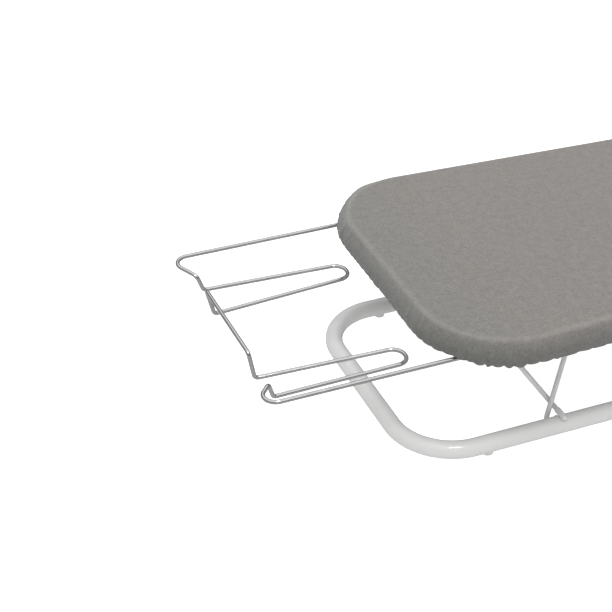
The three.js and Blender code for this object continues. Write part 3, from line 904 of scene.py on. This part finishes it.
def build_felt():
    """A soft flat pad with rounded edges and a faint unevenness."""
    count = 420
    rows = outline(count)
    spine = spine_point(rows)
    low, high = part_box("felt_pad")
    bottom, top = low.z / MM, high.z / MM + 0.9
    inset = 9.5
    edge = rows[:, :2] - inset * rows[:, 2:4]
    chance = random.Random(11)
    phases = [chance.uniform(0, math.tau) for _ in range(4)]
    rings = []

    def ring(share, out, z):
        flat = spine + (edge - spine) * share + out * rows[:, 2:4]
        wave = 0.15 * np.sin(flat[:, 0] / 31 + phases[0]) * np.sin(flat[:, 1] / 23 + phases[1])
        rings.append(np.column_stack([flat, z + wave]))

    shares = [0.02, 0.15, 0.3, 0.45, 0.6, 0.72, 0.83, 0.91, 0.96]
    for share in shares:
        ring(share, 0, bottom)
    lift = (top - bottom) / 2
    for angle in np.linspace(-90, 90, 9):
        turn = math.radians(angle)
        ring(1.0, 1.6 * math.cos(turn) - 1.6, bottom + lift + lift * math.sin(turn))
    for share in reversed(shares):
        ring(share, 0, top - 0.4 * share**4)
    points = to_row_frame(np.vstack(rings))
    faces = [tuple(reversed(face)) for face in grid_faces(len(rings), count)]
    faces += cap_faces(0, count) + cap_faces((len(rings) - 1) * count, count, flip=True)
    felt = make_piece("felt", points, faces, "board", FELT, 60)
    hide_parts("felt_pad")


def cap_faces(start, count, flip=False):
    """Quads that close a mirrored ring across the board's middle line."""
    half = count // 2
    faces = [(start, start + 1, start + count - 1)]
    for k in range(1, half - 1):
        faces.append((start + k, start + k + 1, start + count - k - 1, start + count - k))
    faces.append((start + half - 1, start + half, start + half + 1))
    return [tuple(reversed(face)) for face in faces] if flip else faces


def build_elastic():
    """The band inside the hem, pulled into small waves."""
    low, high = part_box("hem_elastic")
    z0, z1 = low.z / MM, high.z / MM
    section = [(2.5, z0 + 0.5), (2.7, z0 + 0.15), (3.4, z0 + 0.05), (3.7, z0 + 0.5), (3.75, z1 - 0.5),
               (3.4, z1 - 0.1), (2.8, z1 - 0.1), (2.5, z1 - 0.5)]

    def ripple(distance):
        return 0.35 * np.sin(distance / 4.1) * np.sin(distance / 17.3)

    band = build_band("elastic_band", section, "board", ELASTIC, 1200, ripple)
    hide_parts("hem_elastic")
    return band


# ------------------------ cover
COVER_COUNT = 880
CLOTH_THICK = 0.9
EDGE_INSET = 14.0  # where the flat top ends and the roll over the edge starts
# The side's section, as (inset, drop): over the edge, down to the hem and back up inside it.
SIDE_PROFILE = [(14.0, 0.0), (12.0, -0.08), (10.0, -0.32), (8.4, -0.75), (7.2, -1.25), (6.3, -1.8),
                (5.65, -2.4), (5.15, -3.1), (4.75, -4.0), (4.35, -5.1), (3.9, -6.4), (3.4, -7.9),
                (2.9, -9.5), (2.4, -11.2), (1.9, -13.0), (1.4, -14.8), (0.95, -16.6), (0.55, -18.2),
                (0.3, -19.6), (0.15, -20.8), (0.2, -21.8), (0.55, -22.7), (1.0, -23.3), (1.5, -23.6),
                (1.85, -23.2), (2.0, -22.2), (2.05, -21.0), (2.1, -19.8)]
SIDE_DEPTH = 23.6
TURNED_IN = 23  # index of the section's lowest point, after which the hem turns in
SKIRT_TOP = 7  # index of the section's first simulated point
FOLD_OUT = 2.7  # how far the hem's folds stand out and hang, and the whole skirt flares, in millimetres
FOLD_SAG = 2.4
SKIRT_FLARE = 2.0
SETTLE_FRAMES = 20
SETTLE_CAP = 1.0  # most that the simulation may move a point, in millimetres


def gather_strength(rows):
    """How much spare cloth the hem has: most at the blunt corners and round the nose, little on the sides."""
    x, y = rows[:, 0], rows[:, 1]
    corner = np.exp(-(((x - 62) / 62) ** 2)) * smooth_step((np.abs(y) - 70) / 70)
    nose = smooth_step((x - 560) / 130)
    return 0.16 + 0.84 * np.maximum(corner, 0.8 * nose)


def gathers(rows):
    """Rounded folds with sharp creases between, of uneven width and height. Returns (fold, crease reach)."""
    chance = random.Random(5)
    distance = rows[:, 4]
    total = distance[-1] + distance[1]
    marks, place = [0.0], 0.0
    while place < total - 14:
        place += chance.choice([5, 7, 9, 11, 14]) * chance.uniform(0.8, 1.2)
        marks.append(place)
    marks[-1] = total
    sizes = [chance.uniform(0.35, 1.0) for _ in marks]
    reaches = [chance.uniform(0.25, 0.75) for _ in marks]
    slot_index = np.clip(np.searchsorted(marks, distance, side="right") - 1, 0, len(marks) - 2)
    starts = np.array(marks)[slot_index]
    widths = np.array(marks)[slot_index + 1] - starts
    phase = (distance - starts) / widths
    fold = np.sin(math.pi * phase) ** 0.65 * np.array(sizes)[slot_index]
    reaches = np.array(reaches)
    reach = reaches[slot_index] * (1 - phase) + reaches[slot_index + 1] * phase
    return fold, reach


def hem_droop(rows):
    """How far the hem hangs, which is more along the sides, and a mask of where the rest's rails lift it."""
    x, y = rows[:, 0], np.abs(rows[:, 1])
    droop = 1.3 + 1.6 * smooth_step((x - 95) / 90)
    at_rail = np.exp(-(((y - RAIL_Y) / 8) ** 2)) * (x < 80)
    return droop, at_rail


def loose_cloth(rows):
    """How far the skirt stands off the rim at the far blunt corner and beside the near one."""
    distance = rows[:, 4]
    total = distance[-1] + distance[1]
    far = 3.6 * np.exp(-(((distance - 152) / 38) ** 2))
    near = 1.5 * np.exp(-(((total - distance - 74) / 30) ** 2))
    return far + near


def corner_bulge(rows):
    """The padding stands out under the ridge of the far blunt corner."""
    return 6.0 * np.exp(-(((rows[:, 4] - 172) / 24) ** 2))


def cover_rings(rows):
    """The cloth's rings from the middle of the top, over the edge and down the side, to the turned-in hem."""
    spine = spine_point(rows)
    strength, loose, bulge = gather_strength(rows), loose_cloth(rows), corner_bulge(rows)
    fold, reach = gathers(rows)
    droop, at_rail = hem_droop(rows)
    slow = np.sin(rows[:, 4] / 37 + 1.3) * 0.5 + np.sin(rows[:, 4] / 61) * 0.5
    edge = rows[:, :2] - EDGE_INSET * rows[:, 2:4]
    crown = TOP_Z - 0.2
    rings, cuts = [], []
    shares = [0.015, 0.1, 0.2, 0.3, 0.4, 0.5, 0.6, 0.7, 0.78, 0.85, 0.91, 0.955, 0.985]
    for share in shares:
        flat = spine + (edge - spine) * share
        dip = 0.12 * np.sin(flat[:, 0] / 47) * np.sin(flat[:, 1] / 39 + 0.7)
        rings.append(np.column_stack([flat, crown - 0.25 * (1 - share) + dip * (1 - share)]))
        cuts.append(np.column_stack([flat, np.zeros(len(rows))]))
    travelled, before = 0.0, SIDE_PROFILE[0]
    for index, (inset, drop) in enumerate(SIDE_PROFILE):
        travelled += math.dist(before, (inset, drop))
        before = (inset, drop)
        low_down = min(max((-drop - 5) / 17.0, 0), 1) if index < TURNED_IN else 1.0
        fade = smooth_step((low_down - (1 - reach)) / np.maximum(reach, 0.05))
        swell = strength * fold * fade * FOLD_OUT + (SKIRT_FLARE + loose) * smooth_step(low_down * 1.4)
        swell = swell + bulge * smooth_step((-drop - 0.3) / 5) * (1 - 0.35 * low_down)
        sway = 0.25 * slow * low_down
        flat = rows[:, :2] - (inset - swell - sway)[:, None] * rows[:, 2:4]
        sag = strength * (fold - 0.35) * fade * FOLD_SAG + (droop + 0.35 * slow) * low_down**2
        sag = sag * (1 - at_rail) + 0.5 * low_down * at_rail
        rings.append(np.column_stack([flat, crown + drop * (SIDE_DEPTH + crown - TOP_Z) / SIDE_DEPTH - sag]))
        placed = rows[:, :2] + (travelled - EDGE_INSET) * rows[:, 2:4]
        cuts.append(np.column_stack([placed, np.full(len(rows), travelled)]))
    return rings, cuts


def settle_skirt(rings):
    """Cloth simulation of the skirt. The ridge and the turned-in hem are held; the cloth between has a little
    spare length, which buckles into small wrinkles. Each move is capped."""
    first = len(rings) - len(SIDE_PROFILE) + SKIRT_TOP
    strip = np.array(rings[first:])
    rest_shape = to_row_frame(strip.reshape(-1, 3))
    count = len(rings[0])
    mesh = bpy.data.meshes.new("skirt")
    mesh.from_pydata(rest_shape.tolist(), [], grid_faces(len(strip), count))
    skirt = new_object("skirt", mesh)
    held = skirt.vertex_groups.new(name="held")
    hem_from = TURNED_IN - SKIRT_TOP - 1
    for ring in range(len(strip)):
        grip = max(1.0 - ring / 3, 0.0) if ring < hem_from else 1.0
        if ring == hem_from - 1:
            grip = 0.25
        if grip > 0:
            held.add(list(range(ring * count, (ring + 1) * count)), grip, "REPLACE")
    cloth = skirt.modifiers.new("cloth", "CLOTH")
    settings = cloth.settings
    settings.quality = 4
    settings.mass = 0.15
    settings.tension_stiffness = 18
    settings.compression_stiffness = 12
    settings.shear_stiffness = 4
    settings.bending_stiffness = 0.12
    settings.shrink_min = -0.02
    settings.vertex_group_mass = "held"
    settings.effector_weights.gravity = 0.3
    cloth.collision_settings.use_collision = False
    scene = bpy.context.scene
    for frame_number in range(1, SETTLE_FRAMES + 1):
        scene.frame_set(frame_number)
    shape = skirt.evaluated_get(bpy.context.evaluated_depsgraph_get()).to_mesh()
    settled = np.empty(len(shape.vertices) * 3)
    shape.vertices.foreach_get("co", settled)
    scene.frame_set(1)
    bpy.data.objects.remove(skirt)
    moves = (settled.reshape(-1, 3) - rest_shape) / MM
    sizes = np.linalg.norm(moves, axis=1)
    moves *= (SETTLE_CAP * np.tanh(sizes / SETTLE_CAP) / np.maximum(sizes, 1e-9))[:, None]
    strip = strip + moves.reshape(strip.shape)
    return rings[:first] + list(strip)


def build_cover():
    """The cloth as one swept mesh, its skirt settled by the simulation, then given its thickness."""
    rows = outline(COVER_COUNT)
    rings, cuts = cover_rings(rows)
    rings = settle_skirt(rings)
    points = to_row_frame(np.vstack(rings))
    faces = grid_faces(len(rings), COVER_COUNT) + cap_faces(0, COVER_COUNT, flip=True)
    cover = make_piece("padded_cover", points, faces, "board", FABRIC)
    store_cut(cover, np.vstack(cuts) * MM)
    thick = cover.modifiers.new("cloth", "SOLIDIFY")
    thick.thickness = CLOTH_THICK * MM
    thick.offset = -1
    apply_modifiers(cover)
    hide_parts("cover")
    return cover


def flat_cut_area(margin):
    """Area of the cut: the outline with a margin all round, in square metres."""
    rows = outline(400)
    x = rows[:, 0] + margin * rows[:, 2]
    y = rows[:, 1] + margin * rows[:, 3]
    return abs(float(np.dot(x, np.roll(y, -1)) - np.dot(y, np.roll(x, -1)))) / 2 * MM * MM


# ------------------------ carried-over CAD nodes
def dress_cad_nodes():
    """Moulded and pressed parts keep their CAD shape, with softened edges."""
    finishes = [
        (PLASTIC, 0.35, ("link_clip", "rest_guide", "rest_stop")),
        (ZINC, 0.25, ("brace_hook", "ring_joint_ferrule")),
        (PAINT, 0.3, ("channel", "cross_bar")),
    ]
    for material, radius, prefixes in finishes:
        for name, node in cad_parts.items():
            if not name.startswith(prefixes):
                continue
            for slot in node.material_slots:
                slot.material = material
            weld = node.modifiers.new("weld", "WELD")
            weld.merge_threshold = 0.00001
            soften = node.modifiers.new("soften", "BEVEL")
            soften.width = radius * MM
            soften.segments = 3
            soften.limit_method = "ANGLE"
            soften.angle_limit = math.radians(35)
            soften.harden_normals = True
            node.data.shade_smooth()


build_ring()
build_sleeves()
build_foot_pads()
build_legs()
build_rest()
build_rim()
build_sheet()
build_rivets()
build_felt()
elastic_band = build_elastic()
cover = build_cover()
dress_cad_nodes()

HEM_MARGIN = 34  # spare cloth all round the outline, for the side and the hem
flat_cut_area(HEM_MARGIN)
